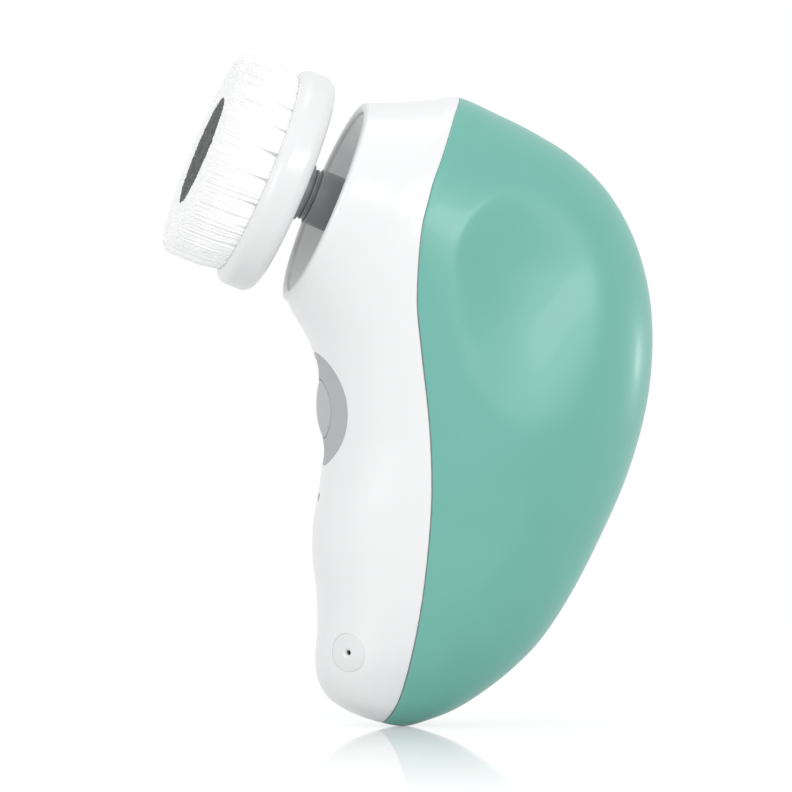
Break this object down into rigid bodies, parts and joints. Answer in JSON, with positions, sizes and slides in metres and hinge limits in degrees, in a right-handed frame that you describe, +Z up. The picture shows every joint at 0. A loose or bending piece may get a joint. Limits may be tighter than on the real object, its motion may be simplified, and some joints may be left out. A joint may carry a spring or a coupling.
{
  "type": "facial cleansing brush",
  "caption": "Palm-held rotary facial cleansing brush: two-shell curved body, tilted round bristle head on a geared motor drive, front push button and side charging port.",
  "frame": {"origin": "centre of the part's box in X and Y, at its lowest point", "axes": "+Z up along the handle, -X towards the brush side, +X towards the palm side, Y sideways; the XZ plane is the mid plane"},
  "size_m": [0.094, 0.0454, 0.1284],
  "materials": {
    "white_shell": "satin white moulding",
    "teal_shell": "satin teal moulding",
    "dark_rubber": "black rubber",
    "bronze": "sintered bronze",
    "frame_plastic": "natural acetal",
    "gear_plastic": "natural acetal",
    "steel": "bright steel",
    "motor_steel": "zinc plated steel",
    "pinion_brass": "brass",
    "dark_plastic": "black plastic",
    "switch_metal": "tinned steel",
    "board": "green solder mask",
    "led": "ceramic white",
    "clear": "clear acrylic",
    "cell_wrap": "shrink wrap",
    "port_silicone": "white silicone",
    "inlay_silicone": "light grey silicone",
    "button_grey": "satin grey",
    "hub_grey": "satin grey",
    "base_white": "satin white moulding",
    "bristle_white": "fine white filament",
    "bristle_dark": "fine dark grey filament"
  },
  "bodies": {
    "housing": {"front_shell": "white_shell", "back_shell": "teal_shell", "shell_gasket": "dark_rubber", "shaft_seal": "dark_rubber", "shaft_bush": "bronze", "gearbox_cover": "frame_plastic", "gearbox_frame": "frame_plastic", "gearbox_screws": "steel", "idler_pin": "steel", "motor_can": "motor_steel", "motor_end_cap": "dark_plastic", "button_surround": "inlay_silicone", "tactile_switch": "switch_metal", "circuit_board": "board", "status_led": "led", "light_pipe": "clear", "battery_cell": "cell_wrap", "chassis": "frame_plastic", "chassis_screws": "steel", "charge_port_seal": "port_silicone", "charge_jack": "switch_metal"},
    "drive": {"drive_hub": "hub_grey", "drive_shaft": "steel", "thrust_washer": "gear_plastic", "output_gear": "gear_plastic", "retaining_clip": "steel"},
    "idler": {"compound_gear": "gear_plastic"},
    "rotor": {"motor_shaft": "steel", "motor_pinion": "pinion_brass"},
    "button": {"power_button": "button_grey", "switch_plunger": "dark_plastic"},
    "brush_head": {"brush_base": "base_white", "outer_bristles": "bristle_white", "inner_bristles": "bristle_dark"}
  },
  "joints": [
    {"name": "drive_spin", "type": "hinge", "parent": "housing", "child": "drive", "pos_m": [-0.0167, 0, 0.1002], "axis": [-0.9272, 0, 0.3746], "continuous": true},
    {"name": "idler_spin", "type": "hinge", "parent": "housing", "child": "idler", "pos_m": [-0.01295, 0, 0.10947], "axis": [-0.9272, 0, 0.3746], "continuous": true},
    {"name": "motor_spin", "type": "hinge", "parent": "housing", "child": "rotor", "pos_m": [-0.0167, 0, 0.1002], "axis": [-0.9272, 0, 0.3746], "continuous": true},
    {"name": "button_press", "type": "slide", "parent": "housing", "child": "button", "axis": [1, 0, 0], "range_m": [0, 0.0006], "stiffness_N_per_m": 2500, "springref_m": -0.0004},
    {"name": "head_pull", "type": "slide", "parent": "drive", "child": "brush_head", "axis": [-0.9272, 0, 0.3746], "range_m": [0, 0.008]}
  ],
  "couplings": [
    {"joint": "idler_spin", "follows": "drive_spin", "ratio": -3},
    {"joint": "motor_spin", "follows": "drive_spin", "ratio": 9}
  ]
}
